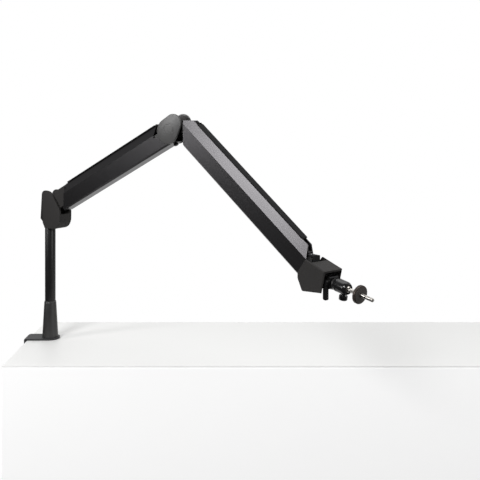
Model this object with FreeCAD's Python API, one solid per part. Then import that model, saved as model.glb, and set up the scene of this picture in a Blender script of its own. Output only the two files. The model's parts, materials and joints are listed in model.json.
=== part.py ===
import FreeCAD, Part
import math
import os

os.makedirs("parts", exist_ok=True)

# Desk-clamp microphone boom arm, millimetres.
# Origin: on the riser axis, on the desk top.  +X runs into the desk, +Z is up.
# Each arm is built lying along +X with its pivot at the origin, then raised and turned.

# ---- driving dimensions -------------------------------------------------------------
ARM_YAW = -32.5            # turn of the whole arm about the riser
LOWER_RISE = 27.0          # elevation of the lower arm
UPPER_RISE = -41.5         # elevation of the upper arm
HEAD_YAW = -19.0           # extra turn of the head at the tip
BALL_PITCH = -9.0          # slope of the ball head and stud
ARM_LENGTH = 361.6         # pivot to pivot, the same for both arms

RUN = 0.05                 # radial clearance of a pin that turns in its hole
FIT = 0.02                 # radial clearance of pieces that are fixed together
GAP = 0.3                  # clearance between faces that pass each other
PLUG_FIT = 0.15            # clearance of the plugs and plates inside the arm sections
COVER_FIT = 0.1            # clearance under a cover that is clipped on
FAR = 60.0                 # reach of a cutting block past everything it crosses

# clamp
PLATE = 2.5                # steel sheet of the top plate
PLATE_HALF = 20.0          # half depth, and the radius of its round end
BACK_X = -47.0             # inner face of the clamp's back
BACK_SHEET = 4.0
PAD_SHEET = 1.0            # rubber under the top plate
JAW_Z = -92.0              # top of the lower jaw
JAW_SHEET = 6.0
JAW_END = 14.0
SCREW_R = 4.5
SCREW_X = -8.0
SCREW_TIP = -44.0          # top end of the clamp screw
SCREW_LENGTH = 114.0
BOSS_R = 9.0
BOSS_UP = 9.0
BOSS_DOWN = 4.0
SWIVEL_R = 17.0
SWIVEL_SHEET = 5.0
SWIVEL_RUBBER = 2.0
KNOB_R = 17.5
KNOB_HEIGHT = 22.0
KNOB_LOBES = 8

# riser
TUBE_R = 11.0
CONE_BASE_R = 16.5
CONE_TOP_R = TUBE_R + 1.4
CONE_HEIGHT = 74.0
CONE_FLOOR = 26.0          # solid foot of the cone, above the plate
BOLT_R = 4.0
BOLT_HEAD_R = 8.0
TUBE_WALL = 1.8
TUBE_TOP = 234.0
RING = 1.6
SPIGOT_R = 7.0
SPIGOT_DEPTH = 32.0
SPIGOT_RISE = 26.0
GRUB_R = 2.0

# pod at the top of the riser
POD_HALF = 16.6            # half width over the covers
POD_COVER = 1.9
POD_INSET = 0.8            # the covers stand this far outside the body's outline
POD_REAR = -8.0
POD_FRONT = 44.6
POD_HEIGHT = 79.0
POD_WALL = 2.8
POD_PIVOT_X = 18.0
POD_PIVOT_RISE = 51.0      # pivot above the top of the tube
POD_BLOCK_RISE = 24.0
POD_LIP_RISE = 31.0        # top of the front wall
KNUCKLE_HALF = 11.6
KNUCKLE_R = 14.0
PIN_R = 4.0
PIN_HEAD_R = 6.5
PIN_HEAD = 2.0             # depth of the elbow bolt's two heads
WASHER = 0.6
WASHER_R = 11.0
ROD_R = 2.5                # spring rods, pan screw and friction screw

# arm section
ARM_HALF = 14.3            # half width of the box section
ARM_BOTTOM = -25.3
ARM_SHOULDER = 6.1         # top of the upright sides
ARM_TOP = 22.8
ARM_TOP_HALF = 7.0
ARM_FOOT_HALF = 11.0       # half width of the flat underside
ARM_FOOT = 2.6             # height of the bottom chamfer
ARM_WALL = 1.8
COVER_HALF = 8.8
COVER = 2.2
COVER_EDGE = 0.7
COVER_TONGUE = 3.0         # rib that drops into the cable channel
CHANNEL_HALF = 5.0
CHANNEL_DEPTH = 9.0

# elbow
CAP = 3.3
CAP_EDGE = 1.2
ELBOW_HALF = ARM_HALF + CAP + 0.2   # the caps lie flat on the lower section's sides
ELBOW_BIG_R = 24.0
ELBOW_SMALL_R = 18.5
ELBOW_BACK = -17.9         # centre of the large round, from the elbow pivot
ELBOW_DROP = -6.6
ELBOW_OFFSET = 4.5         # elbow pivot above the lower arm's centre line
UPPER_OFFSET = 8.5         # upper arm's centre line above the elbow pivot
FORK_HALF = 12.3
FORK_EAR = 2.6
MITRE_START = 21.5         # upper section's first face, ahead of the elbow pivot
MITRE_END = 0.5            # its last face, ahead of the tip pivot

# head
HEAD_HALF = ARM_HALF + 6.7   # the housing passes outside the upper section
HEAD_WALL = 2.0
HEAD_EDGE = 1.6            # bevel round the outside of each cheek
HEAD_REAR = -9.1
HEAD_SPLIT = 0.1           # half of the gap between the two shells
YOKE = 3.0
YOKE_HALF = 6.8
BLOCK_HALF = 9.0
BLOCK_RISE = 10.7
TIP_PIN_R = 3.5
SWIVEL_PIN_R = 3.0
YOKE_REACH = 15.0
STEM_START = 24.0
BALL_X = 84.0              # ball centre, along the head
BALL_DROP = -29.4          # ball centre, under the tip pivot
BALL_R = 7.5
HOUSING_R = 11.0
HOUSING_BACK = 22.0
HOUSING_FRONT = 6.0
NECK_R = 3.6
DISC_R = 15.0
DISC = 5.0
DISC_X = 27.0              # back of the locking disc, from the ball centre
STUD_R = 3.175
STUD_END = 58.0
RELIEF_R = 2.9             # plain part of the stud behind and in the disc
RELIEF_END = 34.0
WING_X = 51.0
WING_HALF = 10.0
WING_R = 3.0
STEM_R = 7.0
EAR_R = 5.6               # ears of the tip fork

V = FreeCAD.Vector
X = V(1, 0, 0)
Y = V(0, 1, 0)
Z = V(0, 0, 1)


# ---- helpers ------------------------------------------------------------------------
def cyl(radius, start, end, centre=(0, 0), axis="z"):
    """A cylinder between two places on an axis; centre gives the other two."""
    a, b = centre
    base = {"x": V(start, a, b), "y": V(a, start, b), "z": V(a, b, start)}[axis]
    return Part.makeCylinder(radius, end - start, base, {"x": X, "y": Y, "z": Z}[axis])


def block(x, y, z):
    """A box from three pairs of limits."""
    return Part.makeBox(x[1] - x[0], y[1] - y[0], z[1] - z[0], V(x[0], y[0], z[0]))


def ring(outer, inner, start, end, centre=(0, 0), axis="z"):
    return cyl(outer, start, end, centre, axis).cut(cyl(inner, start - 1, end + 1, centre, axis))


def side_plate(points, y0, y1):
    """A straight-sided outline in the XZ plane, from y0 to y1."""
    wire = Part.makePolygon([V(x, y0, z) for x, z in points + points[:1]])
    return Part.Face(wire).extrude(V(0, y1 - y0, 0))


def section_bar(points, x0, x1):
    """An outline in the YZ plane, from x0 to x1."""
    wire = Part.makePolygon([V(x0, y, z) for y, z in points + points[:1]])
    return Part.Face(wire).extrude(V(x1 - x0, 0, 0))


def upright(shape, places, radius):
    """Round the edges along Y that pass through the given (x, z) places."""
    edges = []
    for edge in shape.Edges:
        ends = [v.Point for v in edge.Vertexes]
        if len(ends) == 2 and abs(ends[0].x - ends[1].x) < 1e-4 and abs(ends[0].z - ends[1].z) < 1e-4:
            for x, z in places:
                if abs(ends[0].x - x) < 1e-3 and abs(ends[0].z - z) < 1e-3:
                    edges.append(edge)
    return shape.makeFillet(radius, edges)


def hull_plate(ax, az, ar, bx, bz, br, y0, y1):
    """Two discs and the band that is tangent to both."""
    length = math.hypot(bx - ax, bz - az)
    along = math.atan2(bz - az, bx - ax)
    lean = math.acos((ar - br) / length)
    outline = []
    for x, z, r, turn in ((ax, az, ar, lean), (bx, bz, br, lean), (bx, bz, br, -lean), (ax, az, ar, -lean)):
        outline.append((x + r * math.cos(along + turn), z + r * math.sin(along + turn)))
    band = side_plate(outline, y0, y1)
    discs = cyl(ar, y0, y1, (ax, az), "y").fuse(cyl(br, y0, y1, (bx, bz), "y"))
    return band.fuse(discs).removeSplitter()


def soften(shape, size, y):
    """Bevel the outer rim of a cover at its outside face y."""
    rim = [e for e in shape.Edges if all(abs(v.Point.y - y) < 1e-4 for v in e.Vertexes)]
    return shape.makeChamfer(size, rim)


def both_sides(shape):
    """The shape and its mirror image across the arm's middle plane."""
    return Part.makeCompound([shape, shape.mirror(V(0, 0, 0), Y)])


def save(name, shape):
    for solid in shape.Solids:
        if not solid.isValid():
            print("not valid:", name)
    shape.exportStep("parts/" + name + ".step")
    print(name, len(shape.Solids), round(sum(s.Volume for s in shape.Solids)))


# ---- places -------------------------------------------------------------------------
def turned(shape, angle, axis, centre=V(0, 0, 0)):
    copy = shape.copy()
    copy.rotate(centre, axis, angle)
    return copy


def moved(shape, x, y, z):
    copy = shape.copy()
    copy.translate(V(x, y, z))
    return copy


def on_riser(shape):
    """From the arm plane to the world."""
    return turned(shape, ARM_YAW, Z)


POD_PIVOT_Z = TUBE_TOP + POD_PIVOT_RISE


def on_lower(shape):
    """From the lower arm to the world."""
    return on_riser(moved(turned(shape, -LOWER_RISE, Y), POD_PIVOT_X, 0, POD_PIVOT_Z))


LOWER = math.radians(LOWER_RISE)
UPPER = math.radians(UPPER_RISE)
ELBOW_X = POD_PIVOT_X + ARM_LENGTH * math.cos(LOWER) - ELBOW_OFFSET * math.sin(LOWER)
ELBOW_Z = POD_PIVOT_Z + ARM_LENGTH * math.sin(LOWER) + ELBOW_OFFSET * math.cos(LOWER)


def on_upper(shape):
    """From the upper arm to the world."""
    return on_riser(moved(turned(shape, -UPPER_RISE, Y), ELBOW_X, 0, ELBOW_Z))


TIP_X = ELBOW_X + ARM_LENGTH * math.cos(UPPER) - UPPER_OFFSET * math.sin(UPPER)
TIP_Z = ELBOW_Z + ARM_LENGTH * math.sin(UPPER) + UPPER_OFFSET * math.cos(UPPER)


def on_tip(shape):
    """From the tilt axis to the world."""
    return on_riser(moved(shape, TIP_X, 0, TIP_Z))


def on_head(shape):
    """From the head to the world."""
    return on_tip(turned(shape, HEAD_YAW, Z))


def on_ball(shape):
    """From the ball's axis to the world."""
    return on_head(moved(turned(shape, -BALL_PITCH, Y), BALL_X, 0, BALL_DROP))


# ---- desk clamp ---------------------------------------------------------------------
PLATE_TOP = PAD_SHEET + PLATE
JAW_BOTTOM = JAW_Z - JAW_SHEET


def clamp_bracket():
    """Steel bracket: round-ended top plate, upright back and lower jaw."""
    top = block((BACK_X, 0), (-PLATE_HALF, PLATE_HALF), (PAD_SHEET, PLATE_TOP))
    top = top.fuse(cyl(PLATE_HALF, PAD_SHEET, PLATE_TOP))
    back_half = PLATE_HALF - 3.0
    back = block((BACK_X - BACK_SHEET, BACK_X), (-back_half, back_half), (JAW_BOTTOM, PLATE_TOP))
    web = block((BACK_X, BACK_X + 2.0), (-PLATE_HALF, PLATE_HALF), (-6.0, PLATE_TOP))
    jaw = block((BACK_X, JAW_END), (-back_half, back_half), (JAW_BOTTOM, JAW_Z))
    body = top.fuse([back, web, jaw]).removeSplitter()
    body = upright(body, [(BACK_X - BACK_SHEET, PLATE_TOP), (BACK_X - BACK_SHEET, JAW_BOTTOM)], 3.4)
    body = upright(body, [(BACK_X, JAW_Z)], 6.0)
    bolt_hole = cyl(BOLT_R + FIT, PAD_SHEET - 1, PLATE_TOP + 1)
    sink = Part.makeCone(BOLT_HEAD_R + FIT, BOLT_R + FIT, PLATE, V(0, 0, PAD_SHEET), Z)
    boss_hole = cyl(BOSS_R, JAW_BOTTOM - 1, JAW_Z + 1, (SCREW_X, 0))
    return body.cut([bolt_hole, sink, boss_hole])


def desk_pad():
    """Rubber sheet under the top plate."""
    pad = block((BACK_X + 4.0, 0), (-PLATE_HALF + 1.0, PLATE_HALF - 1.0), (0, PAD_SHEET))
    return pad.fuse(cyl(PLATE_HALF - 1.0, 0, PAD_SHEET)).removeSplitter()


def jaw_nut():
    """Threaded bush fixed in the lower jaw."""
    body = cyl(BOSS_R, JAW_BOTTOM, JAW_Z, (SCREW_X, 0))
    body = body.fuse(cyl(BOSS_R + 2.0, JAW_Z, JAW_Z + BOSS_UP, (SCREW_X, 0)))
    body = body.fuse(cyl(BOSS_R - 1.0, JAW_BOTTOM - BOSS_DOWN, JAW_BOTTOM, (SCREW_X, 0)))
    return body.cut(cyl(SCREW_R + RUN, JAW_BOTTOM - 20, JAW_Z + 20, (SCREW_X, 0)))


SCREW_FOOT = SCREW_TIP - SCREW_LENGTH
SWIVEL_TOP = SCREW_TIP + 3.0


def clamp_screw():
    """Screw with a thinner end that turns in the swivel pad."""
    body = cyl(SCREW_R, SCREW_FOOT, SCREW_TIP - 4.0, (SCREW_X, 0))
    return body.fuse(cyl(SCREW_R - 1.5, SCREW_TIP - 4.0, SCREW_TIP, (SCREW_X, 0)))


def clamp_knob():
    """Fluted knob fixed on the foot of the screw."""
    low = SCREW_FOOT - 4.0
    body = cyl(KNOB_R, low, low + KNOB_HEIGHT, (SCREW_X, 0))
    cuts = [cyl(SCREW_R + FIT, SCREW_FOOT, low + KNOB_HEIGHT + 1, (SCREW_X, 0))]
    for i in range(KNOB_LOBES):
        turn = 2 * math.pi * i / KNOB_LOBES
        x = SCREW_X + (KNOB_R + 2.2) * math.cos(turn)
        y = (KNOB_R + 2.2) * math.sin(turn)
        cuts.append(cyl(4.2, low - 1, low + KNOB_HEIGHT + 1, (x, y)))
    return body.cut(cuts)


def swivel_pad():
    """Round pad on the top end of the screw."""
    body = cyl(SWIVEL_R, SWIVEL_TOP - SWIVEL_SHEET, SWIVEL_TOP, (SCREW_X, 0))
    body = body.fuse(cyl(8.0, SCREW_TIP - 6.0, SWIVEL_TOP - SWIVEL_SHEET, (SCREW_X, 0)))
    body = body.cut(cyl(SCREW_R + GAP, SCREW_TIP - 7.0, SCREW_TIP - 4.0 + GAP, (SCREW_X, 0)))
    return body.cut(cyl(SCREW_R - 1.5 + RUN, SCREW_TIP - 5.0, SCREW_TIP + GAP, (SCREW_X, 0)))


def swivel_rubber():
    """Rubber face of the swivel pad."""
    return cyl(SWIVEL_R - 1.0, SWIVEL_TOP, SWIVEL_TOP + SWIVEL_RUBBER, (SCREW_X, 0))


# ---- riser --------------------------------------------------------------------------
CONE_TOP = PLATE_TOP + CONE_HEIGHT
TUBE_FOOT = PLATE_TOP + CONE_FLOOR
GRUB_Z = CONE_TOP - 16.0


def riser_socket():
    """Cone-shaped socket that the tube stands in."""
    body = Part.makeCone(CONE_BASE_R, CONE_TOP_R, CONE_HEIGHT, V(0, 0, PLATE_TOP), Z)
    bore = cyl(TUBE_R + FIT, TUBE_FOOT, CONE_TOP + 1)
    tapping = cyl(BOLT_R + FIT, PLATE_TOP - 1, PLATE_TOP + 20.0)
    grub_hole = cyl(GRUB_R + FIT, -CONE_BASE_R - 1, -TUBE_R + 1, (0, GRUB_Z), "x")
    return body.cut([bore, tapping, grub_hole])


def riser_bolt():
    """Countersunk bolt from under the plate into the socket."""
    head = Part.makeCone(BOLT_HEAD_R, BOLT_R, PLATE, V(0, 0, PAD_SHEET), Z)
    head = head.fuse(cyl(BOLT_R, PLATE_TOP - 0.5, PLATE_TOP + 18.0))
    return head.removeSplitter()


def socket_ring():
    """Thin ring at the mouth of the socket."""
    return ring(CONE_TOP_R - 0.3, TUBE_R + FIT, CONE_TOP, CONE_TOP + RING)


def socket_grub():
    """Grub screw that holds the tube in its socket."""
    return cyl(GRUB_R, -CONE_TOP_R, -TUBE_R - FIT, (0, GRUB_Z), "x")


def riser_tube():
    """Upright tube."""
    return ring(TUBE_R, TUBE_R - TUBE_WALL, TUBE_FOOT, TUBE_TOP)


def riser_spigot():
    """Turned plug in the top of the tube, with the spigot that the pod turns on."""
    body = cyl(TUBE_R - TUBE_WALL - FIT, TUBE_TOP - SPIGOT_DEPTH, TUBE_TOP)
    body = body.fuse(cyl(SPIGOT_R, TUBE_TOP, TUBE_TOP + SPIGOT_RISE))
    return body.cut(cyl(ROD_R + FIT, TUBE_TOP + 6.0, TUBE_TOP + SPIGOT_RISE + 1))


def pan_screw():
    """Screw and wide head that keep the pod on its spigot."""
    top = TUBE_TOP + SPIGOT_RISE
    return cyl(ROD_R, TUBE_TOP + 8.0, top).fuse(cyl(9.0, top, top + 3.0)).removeSplitter()


# ---- pod ----------------------------------------------------------------------------
POD_FOOT = TUBE_TOP + GAP
POD_INNER = POD_HALF - POD_COVER - COVER_FIT
POD_SLOT = KNUCKLE_HALF + WASHER + GAP


POD_ROUNDS = (9.0, 12.0, 14.0, 12.0, 16.0, 9.5, 16.0)


def pod_outline(inset):
    """Upright back, slanting front edge and rounded foot of the pod's sides."""
    top = POD_FOOT + POD_HEIGHT - inset
    low = POD_FOOT + inset * 0.2
    rear = POD_REAR + inset
    front = POD_FRONT - inset
    return [(rear + 9.5, low), (front - 11.0, low), (front, low + 13.0), (front + 0.6, low + 40.0),
            (rear + 23.0, top), (rear, top), (rear, low + 15.0)]


def pod_side(inset, y0, y1):
    """The outline as a plate with rounded corners."""
    points = pod_outline(inset)
    plate = side_plate(points, y0, y1)
    for corner, radius in zip(points, POD_ROUNDS):
        plate = upright(plate, [corner], radius)
    return plate


def pod_cover():
    """Moulded cheek with a bevelled edge."""
    outer = POD_HALF
    plate = pod_side(0.0, -outer, -outer + POD_COVER)
    return soften(plate, POD_INSET, -outer)


def pod_body():
    """Moulding between the cheeks: foot, front wall and the slot for the arm."""
    body = pod_side(POD_INSET, -POD_INNER, POD_INNER)
    tub_z = POD_FOOT + POD_BLOCK_RISE
    across = (-POD_SLOT, POD_SLOT)
    hollow = block((POD_REAR - 5, POD_FRONT - POD_WALL), across, (tub_z, POD_FOOT + 90))
    mouth = block((POD_FRONT - POD_WALL - 1, POD_FRONT + 5), across, (POD_FOOT + POD_LIP_RISE, POD_FOOT + 90))
    collar = cyl(TUBE_R + 1.5, POD_FOOT, tub_z)
    body = body.cut([hollow, mouth]).fuse(collar)
    body = body.cut(cyl(SPIGOT_R + RUN, POD_FOOT - 1, tub_z + 1))
    holes = cyl(PIN_HEAD_R + FIT, -POD_INNER - 1, POD_INNER + 1, (POD_PIVOT_X, POD_PIVOT_Z), "y")
    return body.cut(holes).removeSplitter()


def pod_bolt():
    """Pivot bolt of the lower arm, with a head at each end."""
    place = (POD_PIVOT_X, POD_PIVOT_Z)
    body = cyl(PIN_R, -POD_INNER, POD_INNER, place, "y")
    head = cyl(PIN_HEAD_R, POD_SLOT, POD_INNER, place, "y")
    return body.fuse([head, head.mirror(V(0, 0, 0), Y)]).removeSplitter()


def pod_washers():
    """Thin washers between the knuckle and the pod."""
    place = (POD_PIVOT_X, POD_PIVOT_Z)
    low = KNUCKLE_HALF + 0.15
    return both_sides(ring(WASHER_R, PIN_R + FIT, low, low + WASHER, place, "y"))


# ---- arm sections -------------------------------------------------------------------
CHANNEL_WALL = 1.2
CHANNEL_FLOOR = ARM_TOP - CHANNEL_DEPTH - CHANNEL_WALL


def arm_outline(inset):
    """Closed outline of the box section, (y, z), shrunk by inset on every side."""
    lean = math.hypot(ARM_HALF - ARM_TOP_HALF, ARM_TOP - ARM_SHOULDER)
    slip = inset * (lean - (ARM_TOP - ARM_SHOULDER)) / (ARM_HALF - ARM_TOP_HALF)
    half = [(ARM_FOOT_HALF - 0.5 * inset, ARM_BOTTOM + inset),
            (ARM_HALF - inset, ARM_BOTTOM + ARM_FOOT + 0.4 * inset),
            (ARM_HALF - inset, ARM_SHOULDER - slip), (ARM_TOP_HALF - 0.35 * inset, ARM_TOP - inset)]
    return half + [(-y, z) for y, z in reversed(half)]


def arm_section(x0, x1):
    """Hollow box section with a cable channel along its top."""
    body = section_bar(arm_outline(0.0), x0, x1)
    bore = section_bar(arm_outline(ARM_WALL), x0 - 5, x1 + 5)
    wide = CHANNEL_HALF + CHANNEL_WALL
    wall = block((x0, x1), (-wide, wide), (CHANNEL_FLOOR, ARM_TOP - 1.0))
    depth = (CHANNEL_FLOOR + CHANNEL_WALL, ARM_TOP + 5)
    channel = block((x0 - 5, x1 + 5), (-CHANNEL_HALF, CHANNEL_HALF), depth)
    return body.cut(bore).fuse(wall).cut(channel).removeSplitter()


def upright_cut(angle, x, keep_far):
    """A large block that removes everything to one side of a plane upright at rest."""
    along = (-300, 0) if keep_far else (0, 300)
    box = block(along, (-FAR, FAR), (-200, 200))
    return moved(turned(box, angle, Y), x, 0, 0)


def section_plug(x0, x1):
    """Block that fills the bore of a section, under its cable channel."""
    plug = section_bar(arm_outline(ARM_WALL + PLUG_FIT), x0, x1)
    return plug.cut(block((x0 - 1, x1 + 1), (-FAR, FAR), (CHANNEL_FLOOR - GAP, FAR)))


# ---- lower arm ----------------------------------------------------------------------
LOWER_FOOT = 39.3          # where the section's centre line meets its first, upright face
LOWER_TIP = ARM_LENGTH - 15.6
BOTTOM_NOTCH = 24.0
ELBOW_SCREW_X = ARM_LENGTH - 22.0


def lower_section():
    """Aluminium box section, mitred upright at the pod and relieved at the elbow."""
    body = arm_section(5.0, LOWER_TIP)
    body = body.cut(upright_cut(LOWER_RISE, LOWER_FOOT, True))
    notch = turned(block((-100, BOTTOM_NOTCH), (-FAR, FAR), (-100, -5.5)), LOWER_RISE, Y)
    body = body.cut(notch)
    sweep = cyl(ELBOW_SMALL_R + 1.5, -11.8, 11.8, (ARM_LENGTH, ELBOW_OFFSET), "y")
    relief = block((LOWER_TIP - 40.0, LOWER_TIP + 10), (-FAR, FAR), (2.0, 60))
    lean = turned(relief, 30.0, Y, V(LOWER_TIP - 40.0, 0, 2.0))
    screw_hole = cyl(ROD_R + FIT, -30.0, -15.0, (ELBOW_SCREW_X, 0))
    return body.cut([sweep, lean, screw_hole])


def cable_cover(x0, x1):
    """Clip-on cover of the cable channel."""
    low = ARM_TOP + COVER_FIT
    high = low + COVER
    strip = block((x0, x1), (-COVER_HALF, COVER_HALF), (low, high))
    rim = [e for e in strip.Edges if all(abs(v.Point.z - high) < 1e-4 for v in e.Vertexes)]
    strip = strip.makeChamfer(COVER_EDGE, rim)
    half = CHANNEL_HALF - GAP
    tongue = block((x0 + 4, x1 - 4), (-half, half), (ARM_TOP - COVER_TONGUE, low))
    return strip.fuse(tongue).removeSplitter()


def lower_knuckle():
    """Moulded end piece that turns on the pod's pivot and plugs the lower section."""
    reach = LOWER_FOOT + 34.0
    side = [(0, -KNUCKLE_R), (27.0, -16.0), (60.0, -16.0), (60.0, 18.0), (24.0, 18.0), (0, KNUCKLE_R)]
    nose = side_plate(side, -KNUCKLE_HALF, KNUCKLE_HALF)
    nose = nose.fuse(cyl(KNUCKLE_R, -KNUCKLE_HALF, KNUCKLE_HALF, (0, 0), "y"))
    nose = nose.cut(upright_cut(LOWER_RISE, LOWER_FOOT - 0.2, False))
    collar = section_bar(arm_outline(0.6), 14.0, 60.0)
    collar = collar.cut(block((0, 80), (-FAR, FAR), (-60, -15.5)))
    collar = collar.cut(upright_cut(LOWER_RISE, LOWER_FOOT - 0.2, False))
    nook = block((0, 60), (-FAR, FAR), (-FAR, FAR)).cut(block((-10, 90), (-11.9, 11.9), (-70, 70)))
    collar = collar.cut(nook)
    crown = upright(side_plate([(8.0, 10.0), (8.0, ARM_TOP - 1), (56.0, ARM_TOP - 1), (56.0, 10.0)],
                               -CHANNEL_HALF - 2, CHANNEL_HALF + 2), [(8.0, ARM_TOP - 1)], 9.0)
    crown = crown.cut(upright_cut(LOWER_RISE, LOWER_FOOT - 0.2, False))
    plug = section_bar(arm_outline(ARM_WALL + 0.6), LOWER_FOOT - 8.0, reach)
    plug = plug.cut(block((0, 200), (-FAR, FAR), (CHANNEL_FLOOR - 0.8, FAR)))
    plug = plug.cut(block((0, BOTTOM_NOTCH + 22), (-FAR, FAR), (-60, -15.5)))
    lane = cyl(9.6, 16.0, reach + 1, (0, -5.0), "x")
    body = nose.fuse([collar, crown, plug]).cut(lane)
    return body.cut(cyl(PIN_R + RUN, -40, 40, (0, 0), "y")).removeSplitter()


SPRING_R = 7.5
SPRING_WIRE = 1.3
SPRING_Z = -5.0
SPRING_TURNS = 22
LOWER_SPRING = (92.0, ARM_LENGTH - 151.6)
UPPER_SPRING = (104.0, ARM_LENGTH - 139.6)
HOOK_IN = 8.0              # how far an anchor reaches into its spring
HOOK_OUT = 6.0             # and out of it
LOWER_PLATE_X = ARM_LENGTH - 111.6      # cross plate that takes the lower spring's pull


def arm_spring(x0, x1):
    """Tension spring, wound open, with its axis along the arm."""
    pitch = (x1 - x0) / SPRING_TURNS
    path = Part.makeHelix(pitch, x1 - x0, SPRING_R)
    profile = Part.Wire([Part.Circle(V(SPRING_R, 0, 0), Y, SPRING_WIRE).toShape()])
    coil = Part.Wire(path).makePipeShell([profile], True, True)
    coil.rotate(V(0, 0, 0), Y, 90)
    coil.translate(V(x0, 0, SPRING_Z))
    return coil


def spring_anchor(end, side, far):
    """Plug screwed into one end of a spring, and the rod from it to the place that holds it."""
    x0, x1 = sorted((end - side * HOOK_OUT, end + side * HOOK_IN))
    rod = cyl(ROD_R, min(x0, far), max(x0, far), (0, SPRING_Z), "x")
    return cyl(SPRING_R - SPRING_WIRE - GAP, x0, x1, (0, SPRING_Z), "x").fuse(rod).removeSplitter()


def cross_plate(x):
    """Plate across the section that takes the spring's pull."""
    return section_plug(x, x + 4.0).cut(cyl(ROD_R + FIT, x - 1, x + 5, (0, SPRING_Z), "x"))


# ---- elbow --------------------------------------------------------------------------
def elbow_fork():
    """Fork fixed in the lower section; its ears carry the elbow bolt."""
    x, z = ARM_LENGTH, ELBOW_OFFSET
    foot = section_plug(x - 92.0, x - 66.0)
    inner = FORK_HALF - FORK_EAR
    ear = hull_plate(x - 28.0, -4.5, 14.0, x, z, ELBOW_SMALL_R - 2.5, -FORK_HALF, -inner)
    arm = block((x - 68.0, x - 26.0), (-FORK_HALF, -inner), (-16.0, 6.0))
    ear = ear.fuse(arm)
    body = foot.fuse([ear, ear.mirror(V(0, 0, 0), Y)])
    hole = cyl(PIN_R + FIT, -40, 40, (x, z), "y")
    rod_way = cyl(ROD_R + FIT, x - 100.0, x - 60.0, (0, SPRING_Z), "x")
    return body.cut([hole, rod_way]).removeSplitter()


def elbow_cap():
    """Side cap of the elbow, two rounds joined by tangents."""
    x, z = ARM_LENGTH, ELBOW_OFFSET
    outer = ELBOW_HALF
    inner = ELBOW_HALF - CAP
    cap = hull_plate(x + ELBOW_BACK, z + ELBOW_DROP, ELBOW_BIG_R, x, z, ELBOW_SMALL_R, -outer, -inner)
    return soften(cap, CAP_EDGE, -outer)


def elbow_cap_boss():
    """Short spacer ring between a cap and the fork's ear."""
    place = (ARM_LENGTH, ELBOW_OFFSET)
    return both_sides(ring(11.0, PIN_HEAD_R + 0.5, FORK_HALF, ELBOW_HALF - CAP, place, "y"))


def elbow_bolt():
    """Bolt through the fork, with a head at each end."""
    place = (ARM_LENGTH, ELBOW_OFFSET)
    body = cyl(PIN_R, -FORK_HALF - PIN_HEAD, FORK_HALF + PIN_HEAD, place, "y")
    head = cyl(PIN_HEAD_R, FORK_HALF, FORK_HALF + PIN_HEAD, place, "y")
    return body.fuse([head, head.mirror(V(0, 0, 0), Y)]).removeSplitter()


EYE_HALF = FORK_HALF - FORK_EAR - WASHER - GAP


def elbow_washers():
    """Thin washers between the eye and the fork."""
    place = (ARM_LENGTH, ELBOW_OFFSET)
    low = EYE_HALF + 0.15
    return both_sides(ring(WASHER_R, PIN_R + FIT, low, low + WASHER, place, "y"))


# ---- upper arm ----------------------------------------------------------------------
LEVEL_TRIM = 6.3           # level cut over the mitred end, above the elbow pivot


def upper_place(shape):
    """Lift from the section's centre line to the elbow pivot's frame."""
    return on_upper(moved(shape, 0, 0, UPPER_OFFSET))


def upper_section():
    """Aluminium box section with upright ends."""
    body = arm_section(0.0, ARM_LENGTH + 40.0)
    first = MITRE_START / math.cos(UPPER) - UPPER_OFFSET * math.tan(-UPPER)
    level = turned(block((-300, 300), (-FAR, FAR), (LEVEL_TRIM, 200)), UPPER_RISE, Y)
    body = body.cut([upright_cut(UPPER_RISE, first, True), moved(level, 0, 0, -UPPER_OFFSET)])
    return body.cut(upright_cut(UPPER_RISE, ARM_LENGTH + MITRE_END, False))


def upper_knuckle():
    """Eye on the elbow bolt and the plug that holds the upper section."""
    half = EYE_HALF
    eye = cyl(ELBOW_SMALL_R - CAP + GAP, -half, half, (0, -UPPER_OFFSET), "y")
    neck = side_plate([(0, -UPPER_OFFSET - 12.0), (12.0, -UPPER_OFFSET - 10.0), (24.0, -UPPER_OFFSET - 1.0),
                       (70.0, -UPPER_OFFSET - 1.0), (70.0, 11.0), (6.0, 6.0)], -half, half)
    body = eye.fuse([neck, section_plug(52.0, 84.0)])
    body = body.cut(cyl(PIN_R + RUN, -40, 40, (0, -UPPER_OFFSET), "y"))
    return body.cut(cyl(ROD_R + FIT, 60.0, 90.0, (0, SPRING_Z), "x")).removeSplitter()


def elbow_screw():
    """Friction screw under the elbow, with its flanged head."""
    x = ELBOW_SCREW_X
    body = cyl(ROD_R, -26.0, -17.0, (x, 0)).fuse(cyl(4.5, -30.0, -26.0, (x, 0)))
    return body.removeSplitter()


def tip_fork():
    """Plug in the tip end of the upper section; its ears carry the tilt pins."""
    plug = section_plug(ARM_LENGTH - 78.0, ARM_LENGTH - 44.0)
    inner = BLOCK_HALF + GAP
    ear = block((ARM_LENGTH - 46.0, ARM_LENGTH), (-FORK_HALF, -inner), (-EAR_R, EAR_R))
    ear = ear.fuse(cyl(EAR_R, -FORK_HALF, -inner, (ARM_LENGTH, 0), "y"))
    body = plug.fuse([ear, ear.mirror(V(0, 0, 0), Y)])
    body = body.cut(cyl(TIP_PIN_R + FIT, -40, 40, (ARM_LENGTH, 0), "y"))
    rod_way = cyl(ROD_R + FIT, ARM_LENGTH - 90.0, ARM_LENGTH - 40.0, (0, SPRING_Z), "x")
    return body.cut(rod_way).removeSplitter()


def tilt_pins():
    """Side pins that the cross block tilts on."""
    pin = cyl(TIP_PIN_R, -FORK_HALF, -BLOCK_HALF + 4.0, (ARM_LENGTH, 0), "y")
    return both_sides(pin)


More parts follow.
